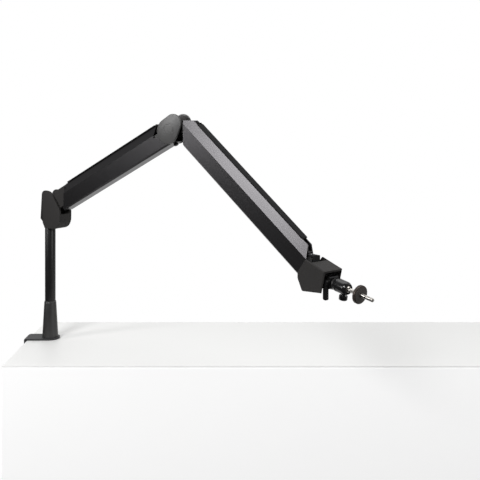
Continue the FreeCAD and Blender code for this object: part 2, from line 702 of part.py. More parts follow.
# ---- head ---------------------------------------------------------------------------
def tilt_block():
    """Cross block: tilts on the two side pins and carries the upright swivel pin."""
    body = block((-9.0, 9.0), (-BLOCK_HALF, BLOCK_HALF), (-BLOCK_RISE, BLOCK_RISE))
    corners = [(-9.0, -BLOCK_RISE), (-9.0, BLOCK_RISE), (9.0, -BLOCK_RISE), (9.0, BLOCK_RISE)]
    body = upright(body, corners, 3.0)
    side = cyl(TIP_PIN_R + RUN, -BLOCK_HALF - 1, -BLOCK_HALF + 4.2, (0, 0), "y")
    body = body.cut([side, side.mirror(V(0, 0, 0), Y)])
    return body.cut(cyl(SWIVEL_PIN_R + RUN, -40, 40))


def swivel_pin():
    """Upright pin with a head at each end."""
    top = BLOCK_RISE + GAP + YOKE
    body = cyl(SWIVEL_PIN_R, -top, top)
    return body.fuse([cyl(5.0, top, top + 1.5), cyl(5.0, -top - 1.5, -top)]).removeSplitter()


def head_yoke():
    """Steel strap, bent over and under the cross block, with the boss for the ball head."""
    low = BLOCK_RISE + GAP
    half = YOKE_HALF
    legs = [block((-6.5, YOKE_REACH), (-half, half), (low, low + YOKE)),
            block((-6.5, YOKE_REACH), (-half, half), (-low - YOKE, -low))]
    face = block((YOKE_REACH, YOKE_REACH + YOKE), (-half, half), (-30.0, low + YOKE))
    bar = block((YOKE_REACH, STEM_START + 10.0), (-half, half), (-31.0, -19.0))
    arms = block((YOKE_REACH, YOKE_REACH + YOKE), (-HEAD_HALF + HEAD_WALL + 0.1, HEAD_HALF - HEAD_WALL - 0.1),
                 (-4.0, 3.0))
    body = face.fuse(legs + [bar, arms])
    body = body.cut(cyl(SWIVEL_PIN_R + FIT, -40, 40))
    return body.removeSplitter()


HEAD_POINTS = [(1.7, -45.0), (47.4, -41.0), (56.5, -4.5), (10.6, 9.6), (HEAD_REAR, -15.0), (HEAD_REAR, -25.0)]


def head_shell(sign):
    """One half of the moulded head housing: a cheek, half of the roof and the front rim."""
    solid = side_plate(HEAD_POINTS, -HEAD_HALF, -HEAD_SPLIT)
    solid = upright(solid, [HEAD_POINTS[0], HEAD_POINTS[3]], 4.0)
    solid = upright(solid, [HEAD_POINTS[4], HEAD_POINTS[5]], 5.0)
    solid = soften(solid, HEAD_EDGE, -HEAD_HALF)
    room = block((-60, 80), (-HEAD_HALF + HEAD_WALL, 5), (-FAR, FAR))
    roof = side_plate([(24.0, 20.0), (24.0, -2.0), (52.0, -11.5), (60.0, -11.5), (60.0, 20.0)], -60, 60)
    room = room.cut(moved(roof, 0, 0, 4.0))
    shell = solid.cut(room)
    return shell if sign < 0 else shell.mirror(V(0, 0, 0), Y)


def head_screws():
    """Screws through the cheeks into the yoke's cross arms."""
    pin = cyl(1.6, -HEAD_HALF + 0.4, -HEAD_HALF + 8.0, (YOKE_REACH + YOKE / 2, -0.5), "y")
    head = cyl(3.0, -HEAD_HALF + 0.1, -HEAD_HALF + 1.2, (YOKE_REACH + YOKE / 2, -0.5), "y")
    return both_sides(pin.fuse(head).removeSplitter())


def drilled(shape):
    """The shape with the holes for the head screws."""
    return shape.cut(head_screws().Solids)


# ---- ball head, in the frame of the ball's axis -------------------------------------
def adapter_stem():
    """Round stem from the yoke's bar to the ball housing."""
    start = STEM_START - BALL_X + 10.6
    end = -HOUSING_BACK - GAP
    body = cyl(STEM_R, start, end - 3.0, (0, 0), "x")
    return body.fuse(cyl(9.0, end - 3.0, end, (0, 0), "x")).removeSplitter()


def ball_housing():
    """Round housing with a socket for the ball and a bevelled mouth."""
    body = cyl(HOUSING_R, -HOUSING_BACK, 0.0, (0, 0), "x")
    front = Part.makeCone(HOUSING_R, HOUSING_R - 3.0, HOUSING_FRONT, V(0, 0, 0), X)
    body = body.fuse(front)
    ball = Part.makeSphere(BALL_R + GAP, V(0, 0, 0))
    mouth = Part.makeCone(BALL_R - 1.0, BALL_R + 1.6, 8.0, V(2.0, 0, 0), X)
    knob_way = cyl(3.0 + FIT, -HOUSING_R - 5.0, -BALL_R + 1.0, (-4.0, 0))
    return body.cut([ball, mouth, knob_way]).removeSplitter()


def ball_stem():
    """Ball, neck and the flange behind the locking disc."""
    ball = Part.makeSphere(BALL_R, V(0, 0, 0))
    neck = cyl(NECK_R, 0, DISC_X - 3.0, (0, 0), "x")
    flange = cyl(6.0, DISC_X - 4.0, DISC_X - GAP, (0, 0), "x")
    return ball.fuse([neck, flange]).removeSplitter()


def mic_stud():
    """Threaded stud that a microphone clip screws on to; the thread is left plain."""
    relief = cyl(RELIEF_R, DISC_X - GAP, RELIEF_END, (0, 0), "x")
    return relief.fuse(cyl(STUD_R, RELIEF_END, STUD_END, (0, 0), "x")).removeSplitter()


def locking_disc():
    """Round nut that is turned up against the clip."""
    return ring(DISC_R, STUD_R + RUN, DISC_X, DISC_X + DISC, (0, 0), "x")


def disc_pad():
    """Rubber ring on the face of the locking disc."""
    return ring(DISC_R - 2.0, STUD_R + 0.5, DISC_X + DISC, DISC_X + DISC + 1.0, (0, 0), "x")


def lock_knob():
    """Round knob and stem that press on the ball."""
    stem = cyl(3.0 - RUN, -HOUSING_R - 4.0, -BALL_R - 1.0, (-4.0, 0))
    grip = cyl(7.0, -HOUSING_R - 9.5, -HOUSING_R - 1.5, (-4.0, 0))
    return stem.fuse(grip).removeSplitter()


WING_Z = BALL_DROP + (BALL_X - WING_X) * math.sin(math.radians(-BALL_PITCH))


def wing_screw():
    """Thumb screw beside the stem, with its flat wing hanging down."""
    place = (WING_X, WING_Z)
    shank = cyl(WING_R, -WING_HALF - 3.0, -STEM_R - 0.6, place, "y")
    hub = cyl(5.5, -WING_HALF - 5.8, -WING_HALF - GAP, place, "y")
    wing = block((WING_X - 4.6, WING_X + 4.6), (-WING_HALF - 5.0, -WING_HALF - 1.0), (WING_Z - 28.0, WING_Z))
    wing = upright(wing, [(WING_X - 4.6, WING_Z - 28.0), (WING_X + 4.6, WING_Z - 28.0)], 3.0)
    return hub.fuse([shank, wing]).removeSplitter()


def wing_collar():
    """Split collar round the stem that the thumb screw goes into."""
    body = block((WING_X - 6.5, WING_X + 6.5), (-WING_HALF, WING_HALF), (WING_Z - 10.0, WING_Z + 10.0))
    corners = [(WING_X + i * 6.5, WING_Z + j * 10.0) for i in (-1, 1) for j in (-1, 1)]
    body = upright(body, corners, 2.5)
    bore = cyl(STEM_R + FIT, -60, 20, (0, 0), "x")
    bore = moved(turned(bore, -BALL_PITCH, Y), BALL_X, 0, BALL_DROP)
    return body.cut([bore, cyl(WING_R + RUN, -30, 0, (WING_X, WING_Z), "y")])


def build():
    save("clamp_bracket", clamp_bracket())
    save("desk_pad", desk_pad())
    save("jaw_nut", jaw_nut())
    save("clamp_screw", clamp_screw())
    save("clamp_knob", clamp_knob())
    save("swivel_pad", swivel_pad())
    save("swivel_rubber", swivel_rubber())
    save("riser_socket", riser_socket())
    save("riser_bolt", riser_bolt())
    save("socket_ring", socket_ring())
    save("socket_grub", socket_grub())
    save("riser_tube", riser_tube())
    save("riser_spigot", riser_spigot())
    save("pan_screw", pan_screw())
    cover = pod_cover()
    save("pod_cover_near", on_riser(cover))
    save("pod_cover_far", on_riser(cover.mirror(V(0, 0, 0), Y)))
    save("pod_body", on_riser(pod_body()))
    save("pod_bolt", on_riser(pod_bolt()))
    save("pod_washers", on_riser(pod_washers()))
    save("lower_section", on_lower(lower_section()))
    save("lower_knuckle", on_lower(lower_knuckle()))
    save("lower_cover", on_lower(cable_cover(56.0, ARM_LENGTH - 44.6)))
    save("lower_spring", on_lower(arm_spring(*LOWER_SPRING)))
    save("lower_spring_plug", on_lower(spring_anchor(LOWER_SPRING[0], 1, 76.0)))
    save("lower_cross_plate", on_lower(cross_plate(LOWER_PLATE_X)))
    save("lower_spring_hook", on_lower(spring_anchor(LOWER_SPRING[1], -1, LOWER_PLATE_X + 12.0)))
    save("elbow_fork", on_lower(elbow_fork()))
    cap = elbow_cap()
    save("elbow_cap_near", on_lower(cap))
    save("elbow_cap_far", on_lower(cap.mirror(V(0, 0, 0), Y)))
    save("elbow_spacers", on_lower(elbow_cap_boss()))
    save("elbow_bolt", on_lower(elbow_bolt()))
    save("elbow_washers", on_lower(elbow_washers()))
    save("elbow_screw", on_lower(elbow_screw()))
    save("upper_section", upper_place(upper_section()))
    save("upper_knuckle", upper_place(upper_knuckle()))
    save("upper_cover", upper_place(cable_cover(36.0, ARM_LENGTH - 32.6)))
    save("upper_spring", upper_place(arm_spring(*UPPER_SPRING)))
    save("upper_spring_plug", upper_place(spring_anchor(UPPER_SPRING[0], 1, 85.0)))
    save("upper_spring_hook", upper_place(spring_anchor(UPPER_SPRING[1], -1, ARM_LENGTH - 71.6)))
    save("tip_fork", upper_place(tip_fork()))
    save("tilt_pins", upper_place(tilt_pins()))
    save("tilt_block", on_tip(tilt_block()))
    save("swivel_pin", on_head(swivel_pin()))
    save("head_yoke", on_head(drilled(head_yoke())))
    save("head_shell_near", on_head(drilled(head_shell(-1))))
    save("head_shell_far", on_head(drilled(head_shell(1))))
    save("head_screws", on_head(head_screws()))
    save("adapter_stem", on_ball(adapter_stem()))
    save("wing_collar", on_head(wing_collar()))
    save("wing_screw", on_head(wing_screw()))
    save("ball_housing", on_ball(ball_housing()))
    save("lock_knob", on_ball(lock_knob()))
    save("ball_stem", on_ball(ball_stem()))
    save("mic_stud", on_ball(mic_stud()))
    save("locking_disc", on_ball(locking_disc()))
    save("disc_pad", on_ball(disc_pad()))
    print("pod pivot", POD_PIVOT_X, POD_PIVOT_Z)
    print("elbow", ELBOW_X, ELBOW_Z, "tip", TIP_X, TIP_Z)


build()
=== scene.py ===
import json
import math

import bmesh
import bpy
from mathutils import Matrix, Vector


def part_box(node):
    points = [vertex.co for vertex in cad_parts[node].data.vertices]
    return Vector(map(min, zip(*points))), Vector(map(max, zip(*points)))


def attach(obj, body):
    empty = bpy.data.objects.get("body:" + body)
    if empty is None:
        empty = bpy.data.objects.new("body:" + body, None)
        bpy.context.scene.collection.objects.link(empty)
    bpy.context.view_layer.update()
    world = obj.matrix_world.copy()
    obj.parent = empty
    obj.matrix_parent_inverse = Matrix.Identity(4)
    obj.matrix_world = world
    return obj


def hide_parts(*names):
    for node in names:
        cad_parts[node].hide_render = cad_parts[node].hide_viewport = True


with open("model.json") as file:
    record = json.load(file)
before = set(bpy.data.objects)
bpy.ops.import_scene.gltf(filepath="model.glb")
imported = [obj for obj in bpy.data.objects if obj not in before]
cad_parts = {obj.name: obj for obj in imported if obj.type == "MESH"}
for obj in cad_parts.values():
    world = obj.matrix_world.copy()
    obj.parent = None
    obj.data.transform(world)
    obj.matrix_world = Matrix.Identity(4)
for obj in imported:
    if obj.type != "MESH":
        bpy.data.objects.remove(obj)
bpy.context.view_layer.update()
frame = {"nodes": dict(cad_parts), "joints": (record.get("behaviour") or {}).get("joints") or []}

bpy.context.scene.view_settings.view_transform = "Standard"

# Places. Each arm is drawn lying along +X from its pivot, in millimetres, then set in its frame;
# the angles and pivots are the frame's own rest pose.
MM = 0.001
pivots = {joint["name"]: Vector(joint["pos_m"]) for joint in frame["joints"] if joint.get("pos_m")}
arm_yaw, head_yaw = math.radians(-32.5), math.radians(-51.5)


def frame_at(place, yaw, dip=0.0):
    return Matrix.Translation(place) @ Matrix.Rotation(yaw, 4, "Z") @ Matrix.Rotation(dip, 4, "Y")


riser_frame = frame_at((0, 0, 0), arm_yaw)
lower_frame = frame_at(pivots["lower_lift"], arm_yaw, math.radians(-27))
elbow_frame = frame_at(pivots["elbow_fold"], arm_yaw, math.radians(41.5))
upper_frame = elbow_frame @ Matrix.Translation((0, 0, 8.5 * MM))
head_frame = frame_at(pivots["head_tilt"], head_yaw)
ball_frame = (head_frame @ Matrix.Translation((84 * MM, 0, -29.4 * MM))
              @ Matrix.Rotation(math.radians(9), 4, "Y"))

# Camera and studio. The lens looks level across the desk at the arm's near side, shifted down so
# that uprights stay upright. The room is white behind the desk and dim behind the camera.
camera = bpy.data.objects.new("camera", bpy.data.cameras.new("camera"))
bpy.context.scene.collection.objects.link(camera)
camera.location = (0.40106, -1.6196, 0.4557)
camera.rotation_euler = (math.radians(90), 0, 0)
camera.data.sensor_width = 36
camera.data.lens = 57.456
camera.data.shift_y = -0.2449
bpy.context.scene.camera = camera


def soft_box(name, place, aim, size, power):
    """A rectangular area light at a place, turned towards its aim."""
    lamp = bpy.data.lights.new(name, "AREA")
    lamp.shape = "RECTANGLE"
    lamp.size, lamp.size_y = size
    lamp.energy = power
    holder = bpy.data.objects.new(name, lamp)
    bpy.context.scene.collection.objects.link(holder)
    holder.location = place
    holder.rotation_euler = (Vector(aim) - Vector(place)).to_track_quat("-Z", "Y").to_euler()


soft_box("key", (-0.75, -2.1, 1.65), (0.43, -0.27, 0.35), (0.9, 0.9), 40)
soft_box("strip", (-2.04, -1.1, 1.02), (0.28, -0.18, 1.02), (0.6, 1.1), 24)
soft_box("side", (2.3, -1.5, 0.9), (0.2, -0.15, 0.3), (1.4, 1.6), 18)
soft_box("top", (0.5, 0.3, 2.4), (0.4, -0.1, 0.0), (2.2, 1.6), 17)


# Shader maths: a socket that adds, subtracts and multiplies like a number, and one method that adds
# any other node, its settings first and its sockets after.
class Socket:
    tree = None

    def __init__(self, link):
        self.link = link

    @classmethod
    def node(cls, kind, settings=None, out=0, **sockets):
        made = cls.tree.nodes.new(kind)
        for key, value in (settings or {}).items():
            setattr(made, key, value)
        for key, value in sockets.items():
            index = key[1:]
            place = made.inputs[int(index)] if index.isdigit() else made.inputs[key]
            if isinstance(value, Socket):
                cls.tree.links.new(value.link, place)
            else:
                place.default_value = value
        return cls(made.outputs[out])

    @classmethod
    def sum(cls, operation, a, b=0.0):
        return cls.node("ShaderNodeMath", {"operation": operation}, i0=a, i1=b)

    def __add__(self, other):
        return Socket.sum("ADD", self, other)

    def __radd__(self, other):
        return Socket.sum("ADD", other, self)

    def __sub__(self, other):
        return Socket.sum("SUBTRACT", self, other)

    def __rsub__(self, other):
        return Socket.sum("SUBTRACT", other, self)

    def __mul__(self, other):
        return Socket.sum("MULTIPLY", self, other)

    def __rmul__(self, other):
        return Socket.sum("MULTIPLY", other, self)

    def ramp(self, low, high, start=0.0, end=1.0):
        """Carries low..high smoothly over to start..end."""
        settings = {"interpolation_type": "SMOOTHSTEP"}
        return Socket.node("ShaderNodeMapRange", settings, i0=self, i1=low, i2=high, i3=start, i4=end)


def parts_of(vector):
    split = Socket.tree.nodes.new("ShaderNodeSeparateXYZ")
    Socket.tree.links.new(vector.link, split.inputs[0])
    return [Socket(out) for out in split.outputs]


def local(place=None):
    """Object coordinates in a frame's own directions, in metres."""
    spot = Socket.node("ShaderNodeTexCoord", out=3)
    where = place or Matrix.Identity(4)
    return Socket.node("ShaderNodeMapping", {"vector_type": "TEXTURE"}, i0=spot,
                       i1=where.to_translation(), i2=where.to_euler())


def stretched(vector, scale):
    return Socket.node("ShaderNodeMapping", i0=vector, i3=scale)


def noise(where, scale, detail=2.0, rough=0.5):
    return Socket.node("ShaderNodeTexNoise", i0=where, Scale=scale, Detail=detail, Roughness=rough)


def mixed(low, high, amount):
    """Two colours (or sockets) mixed by a socket."""
    low = low if isinstance(low, Socket) else (*low, 1)
    high = high if isinstance(high, Socket) else (*high, 1)
    return Socket.node("ShaderNodeMix", {"data_type": "RGBA"}, out=2, i0=amount, i6=low, i7=high)


def bump(height, distance):
    return Socket.node("ShaderNodeBump", Height=height, Strength=1.0, Distance=distance)


def paint(name, place=None):
    """A new material, its shader, and the coordinates its patterns are drawn in."""
    made = bpy.data.materials.new(name)
    made.use_nodes = True
    Socket.tree = made.node_tree
    return made, made.node_tree.nodes["Principled BSDF"], local(place)


def feed(shader, **values):
    for key, value in values.items():
        place = shader.inputs[key.replace("_", " ")]
        if isinstance(value, Socket):
            Socket.tree.links.new(value.link, place)
        else:
            place.default_value = value


def dress(piece, material):
    piece.data.materials.clear()
    piece.data.materials.append(material)
    for face in piece.data.polygons:
        face.material_index = 0


# The room: white behind the desk, dim towards and behind the camera, grey overhead and to the
# right, so that the faces turned to the camera stay dark.
world = bpy.data.worlds.new("room")
bpy.context.scene.world = world
world.use_nodes = True
Socket.tree = world.node_tree
across, away, up = parts_of(Socket.node("ShaderNodeTexCoord", out=0))
glow = away.ramp(0.55, 0.8)
above = up.ramp(0.12, 0.4) * away.ramp(-0.1, 0.3)
glow = glow + above * 0.6 * (1 - glow)
glow = glow + across.ramp(0.1, 0.9, 0.03, 0.3) * (1 - glow)
sky = world.node_tree.nodes["Background"]
sky.inputs["Color"].default_value = (1, 1, 1, 1)
Socket.tree.links.new(glow.link, sky.inputs["Strength"])


# Mesh editing by operators: what is selected, what a rule picks, and applying modifiers.
def select_none():
    if bpy.context.object and bpy.context.object.mode == "EDIT":
        bpy.ops.object.mode_set(mode="OBJECT")
    bpy.ops.object.select_all(action="DESELECT")


def take(piece):
    select_none()
    piece.select_set(True)
    bpy.context.view_layer.objects.active = piece


def apply_all(piece):
    take(piece)
    for modifier in list(piece.modifiers):
        bpy.ops.object.modifier_apply(modifier=modifier.name)


def edit(piece, kind="FACE"):
    take(piece)
    bpy.ops.object.mode_set(mode="EDIT")
    bpy.ops.mesh.select_mode(type=kind)
    bpy.ops.mesh.select_all(action="DESELECT")


def pick_faces(piece, test):
    """In edit mode, selects the faces whose middle and normal pass the test."""
    mesh = bmesh.from_edit_mesh(piece.data)
    for face in mesh.faces:
        face.select_set(test(face.calc_center_median(), face.normal))
    mesh.select_flush_mode()
    bmesh.update_edit_mesh(piece.data)


def pick_edges(piece, test):
    """In edit mode, selects the edges whose two ends pass the test."""
    mesh = bmesh.from_edit_mesh(piece.data)
    for edge in mesh.edges:
        edge.select_set(test(edge.verts[0].co, edge.verts[1].co))
    bmesh.update_edit_mesh(piece.data)


# Desk: a white board whose left edge is held by the clamp, with a white panel down its near side that glows
# with painted light.
# The board fills the gap between the plate's pad and the screw's pad.
def slab(name, low, high):
    """A box between two corners with a fine edge."""
    select_none()
    bpy.ops.mesh.primitive_cube_add(size=1, location=(Vector(low) + Vector(high)) / 2)
    piece = bpy.context.object
    piece.name = name
    piece.scale = Vector(high) - Vector(low)
    bpy.ops.object.transform_apply(location=True, rotation=False, scale=True)
    piece.modifiers.new("edge", "BEVEL").width = 0.001
    return piece


desk_left, desk_near, desk_far, desk_right = -0.0448, -0.186, 0.13, 1.3
desk_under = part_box("swivel_rubber")[1].z + 0.0003
desk = slab("desk", (desk_left, desk_near, desk_under), (desk_right, desk_far, -0.0002))
panel = slab("panel", (desk_left, desk_near - 0.001, -0.5), (desk_right, desk_near + 0.003, -0.003))
white, shader, here = paint("desk_white")
grain = noise(here, 220.0, 3.0)
feed(shader, Base_Color=mixed((0.84, 0.84, 0.83), (0.88, 0.88, 0.87), grain), Roughness=0.5,
     Normal=bump(grain, 0.00002))
dress(desk, white)
bright, shader, here = paint("panel_painted_glow")
# Painted light: the panel glows a little, so that it stays as bright as the white room behind the desk.
feed(shader, Base_Color=(0.9, 0.9, 0.9, 1), Roughness=0.9, Emission_Strength=0.35,
     Emission_Color=mixed((0.97, 0.97, 0.97), (1.0, 1.0, 1.0), noise(here, 30.0)))
dress(panel, bright)


# Coatings that several pieces share: powder-coated steel, satin tube black, spark-textured moulding
# and plain rubber. Each has a fine grain, slight wear in its sheen and a little dust in its colour.
def coat(name, tone, rough, grain=900.0, depth=0.00003, metal=0.0, stretch=(1, 1, 1), sheen=0.06,
         shine=0.5):
    """A coating of a tone and roughness. sheen is how much the roughness wanders, shine the
    specular level, depth the height of the grain in metres."""
    made, shader, here = paint(name)
    shader.inputs["Specular IOR Level"].default_value = shine
    fine = noise(stretched(here, stretch), grain, 4.0, 0.6)
    broad = noise(here, 26.0, 3.0)
    light = tuple(min(1.0, channel * 1.35 + 0.004) for channel in tone)
    feed(shader, Base_Color=mixed(tone, light, fine * 0.6 + broad * 0.4), Metallic=metal,
         Roughness=broad * sheen * 2 + fine * 0.08 + (rough - sheen - 0.04), Normal=bump(fine, depth))
    return made


def wear(names, material, round_off=0.0):
    """Dresses carried-over nodes, and rounds their sharp edges a little."""
    for name in names:
        node = frame["nodes"][name]
        dress(node, material)
        if round_off:
            soft = node.modifiers.new("round", "BEVEL")
            soft.width = round_off * MM
            soft.segments = 2
            soft.angle_limit = math.radians(40)
            soft.use_clamp_overlap = True
            soft.harden_normals = False


def place(piece, where):
    """Sets a piece drawn in millimetres into its frame, with its place kept in its mesh."""
    select_none()
    piece.matrix_world = where @ Matrix.Scale(MM, 4) @ piece.matrix_world
    take(piece)
    bpy.ops.object.transform_apply(location=True, rotation=True, scale=True)


def close_up(piece, angle=35):
    """Merges doubled points, turns the faces outward and smooths all but the sharp edges."""
    edit(piece)
    bpy.ops.mesh.select_all(action="SELECT")
    bpy.ops.mesh.remove_doubles(threshold=0.0005)
    bpy.ops.mesh.normals_make_consistent(inside=False)
    take(piece)
    bpy.ops.object.mode_set(mode="OBJECT")
    bpy.ops.object.shade_smooth_by_angle(angle=math.radians(angle))


# Turned, threaded and flat pieces. Each is drawn in millimetres and then set in its frame.
def lathe(name, outline, where, steps=64, spin_about="x", tooth=0.0):
    """A closed outline of (along, radius) points spun about the X or Z axis. With a tooth depth,
    every other face of its widest rim is pressed in by it."""
    select_none()
    bpy.ops.mesh.primitive_circle_add(vertices=len(outline), radius=1)
    piece = bpy.context.object
    piece.name = name
    for point, (along, radius) in zip(piece.data.vertices, outline):
        point.co = (along, 0, radius) if spin_about == "x" else (radius, 0, along)
    edit(piece, "VERT")
    bpy.ops.mesh.select_all(action="SELECT")
    axis = (1, 0, 0) if spin_about == "x" else (0, 0, 1)
    bpy.ops.mesh.spin(steps=steps, angle=2 * math.pi, center=(0, 0, 0), axis=axis)
    bpy.ops.mesh.select_all(action="SELECT")
    bpy.ops.mesh.remove_doubles(threshold=0.0005)
    bpy.ops.mesh.dissolve_degenerate(threshold=0.0004)
    bpy.ops.mesh.normals_make_consistent(inside=False)
    if tooth:
        widest = max(radius for along, radius in outline) * 0.985
        bpy.ops.mesh.select_mode(type="FACE")

        def alternate(middle, normal):
            a, b = (middle.y, middle.z) if spin_about == "x" else (middle.x, middle.y)
            slot = int((math.atan2(b, a) + math.pi) * steps / (2 * math.pi))
            return math.hypot(a, b) > widest and slot % 2 == 0

        pick_faces(piece, alternate)
        bpy.ops.mesh.extrude_region_shrink_fatten(TRANSFORM_OT_shrink_fatten={"value": -tooth})
    bpy.ops.object.mode_set(mode="OBJECT")
    close_up(piece)
    place(piece, where)
    return piece


def soft_ends(start, end, outer, inner, edge):
    """Outline of a ring whose outer corners are rounded by edge, for the lathe."""
    nick = edge * 0.3
    return [(start, inner), (start, outer - edge), (start + nick, outer - nick), (start + edge, outer),
            (end - edge, outer), (end - nick, outer - nick), (end, outer - edge), (end, inner)]


def thread(name, radius, depth, pitch, start, end, where, side="x"):
    """A screw thread: a tooth swept round a core by the screw modifier, and chamfered end caps."""
    root, cap_height, cap_step = radius - depth, 1.2, 0.75
    select_none()
    bpy.ops.mesh.primitive_circle_add(vertices=5, radius=1)
    piece = bpy.context.object
    piece.name = name
    tooth = ((0, root - 0.5), (0, root), (0.38, radius), (0.52, radius), (0.9, root))
    for point, (step, far) in zip(piece.data.vertices, tooth):
        point.co = (far, 0, start + step * pitch)
    turn = piece.modifiers.new("turn", "SCREW")
    turn.screw_offset = pitch
    turn.iterations = int((end - start) / pitch) - 1
    turn.steps = turn.render_steps = 24
    turn.use_merge_vertices = True
    apply_all(piece)
    core_radius, core_height = root + 0.05, end - start - cap_height
    bpy.ops.mesh.primitive_cone_add(vertices=48, radius1=core_radius, radius2=core_radius,
                                    depth=core_height, location=(0, 0, start + core_height / 2))
    core = bpy.context.object
    bpy.ops.mesh.primitive_cone_add(vertices=48, radius1=core_radius, radius2=root - cap_step,
                                    depth=cap_height, location=(0, 0, end - cap_height / 2))
    tip = bpy.context.object
    select_none()
    for each in (core, tip, piece):
        each.select_set(True)
    bpy.context.view_layer.objects.active = piece
    bpy.ops.object.join()
    close_up(piece, 50)
    if side == "x":
        where = where @ Matrix.Rotation(math.radians(90), 4, "Y")
    place(piece, where)
    return piece


def plate(name, outline, y0, y1, corners, edge, where, edge_steps=3, insets=()):
    """A flat piece: an outline in the XZ plane with rounded corners, thickened along Y, its rim
    on the y0 side rounded by edge. corners gives a radius for each point; insets are pairs of
    width and depth worked into the y0 face."""
    select_none()
    bpy.ops.mesh.primitive_circle_add(vertices=len(outline), radius=1, fill_type="NGON")
    piece = bpy.context.object
    piece.name = name
    for point, (x, z) in zip(piece.data.vertices, outline):
        point.co = (x, y0, z)
    edit(piece)
    bpy.ops.mesh.select_all(action="SELECT")
    bpy.ops.mesh.extrude_region_move(TRANSFORM_OT_translate={"value": (0, y1 - y0, 0)})
    for radius in sorted(set(corners) - {0}, reverse=True):
        spots = [Vector((x, 0, z)) for (x, z), r in zip(outline, corners) if r == radius]
        bpy.ops.mesh.select_mode(type="EDGE")
        pick_edges(piece, lambda a, b: (a - b).length > abs(y1 - y0) * 0.99 and abs(a.x - b.x) < 1e-4
                   and any((Vector((a.x, 0, a.z)) - spot).length < 1e-3 for spot in spots))
        bpy.ops.mesh.bevel(offset=radius, segments=8, affect="EDGES", offset_type="OFFSET")
    if edge:
        pick_edges(piece, lambda a, b: abs(a.y - y0) < 1e-4 and abs(b.y - y0) < 1e-4)
        bpy.ops.mesh.bevel(offset=edge, segments=edge_steps, affect="EDGES", clamp_overlap=True)
    bpy.ops.mesh.select_all(action="SELECT")
    bpy.ops.mesh.normals_make_consistent(inside=False)
    if insets:
        bpy.ops.mesh.select_mode(type="FACE")
        pick_faces(piece, lambda middle, normal: abs(normal.y) > 0.999 and abs(middle.y - y0) < 1e-3)
        for width, depth in insets:
            bpy.ops.mesh.inset(thickness=width, depth=depth)
    take(piece)
    close_up(piece)
    place(piece, where)
    return piece


def mirrored(piece, name, where):
    """A copy with its own mesh, reflected across the middle plane of a frame."""
    select_none()
    piece.select_set(True)
    bpy.context.view_layer.objects.active = piece
    bpy.ops.object.duplicate(linked=False)
    copy = bpy.context.object
    copy.name = name
    copy.matrix_world = where @ Matrix.Scale(-1, 4, Vector((0, 1, 0))) @ where.inverted()
    bpy.ops.object.transform_apply(location=True, rotation=True, scale=True)
    edit(copy)
    bpy.ops.mesh.select_all(action="SELECT")
    bpy.ops.mesh.normals_make_consistent(inside=False)
    bpy.ops.object.mode_set(mode="OBJECT")
    return copy


def joined(name, first, *others):
    select_none()
    for each in others:
        each.select_set(True)
    first.select_set(True)
    bpy.context.view_layer.objects.active = first
    bpy.ops.object.join()
    first.name = name
    return first


def stand_in(piece, node, body, material):
    """Takes over from a node: dressed in a material, riding its body, with the node hidden."""
    dress(piece, material)
    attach(piece, body)
    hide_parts(node)


# Desk clamp: a folded steel bracket in fine black powder coat with a rubber sheet under its top
# plate and a threaded bush in its lower jaw. Carried over, with its sharp edges rounded.
steel_black = coat("powder_coat", (0.03, 0.03, 0.032), 0.55, grain=1500.0, depth=0.00005, shine=0.3)
rubber = coat("rubber", (0.018, 0.018, 0.018), 0.75, grain=700.0, depth=0.00005)
wear(["clamp_bracket", "jaw_nut", "swivel_pad"], steel_black, 0.5)
wear(["desk_pad", "swivel_rubber"], rubber, 0.2)

# Clamp screw: zinc-plated, with a 2 mm thread on its 114 mm length and a thin end in the pad.
# A tooth is swept round a core, and the thin end is joined on.
zinc = coat("zinc", (0.42, 0.42, 0.43), 0.3, grain=500.0, metal=1.0)
screw_centre = Matrix.Translation((-8 * MM, 0, 0))
screw_foot, screw_neck, screw_top = -158.0, -48.0, -44.0
clamp_thread = thread("clamp_thread", 4.5, 0.7, 2.0, screw_foot, screw_neck, screw_centre, side="z")
thin_end = lathe("thin_end", soft_ends(screw_neck - 1.5, screw_top, 3.0, 0.0, 0.3), screw_centre, 40, "z")
clamp_thread = joined("clamp_thread", clamp_thread, thin_end)
stand_in(clamp_thread, "clamp_screw", "screw", zinc)

# Clamp knob: black moulding with eight finger flutes and a dished foot.
# A fluted outline thickened, its lower rim rounded and its foot inset.
moulding = coat("moulding", (0.024, 0.0225, 0.022), 0.68, grain=1300.0, depth=0.00006, shine=0.25)
knob_radius, knob_foot, knob_height, flutes, flute_depth = 17.5, -162.0, 22.0, 8, 1.9
knob_outline = []
for step in range(96):
    turn = 2 * math.pi * step / 96
    dip = flute_depth * (0.5 + 0.5 * math.cos(flutes * turn)) ** 2
    knob_outline.append(((knob_radius - dip) * math.cos(turn), (knob_radius - dip) * math.sin(turn)))
upended = Matrix.Rotation(math.radians(90), 4, "X")
knob = plate("fluted_knob", knob_outline, knob_foot, knob_foot + knob_height, [0] * 96, 2.0,
             screw_centre @ upended, insets=((5.0, 0.0), (0.8, -1.2)))
stand_in(knob, "clamp_knob", "screw", moulding)

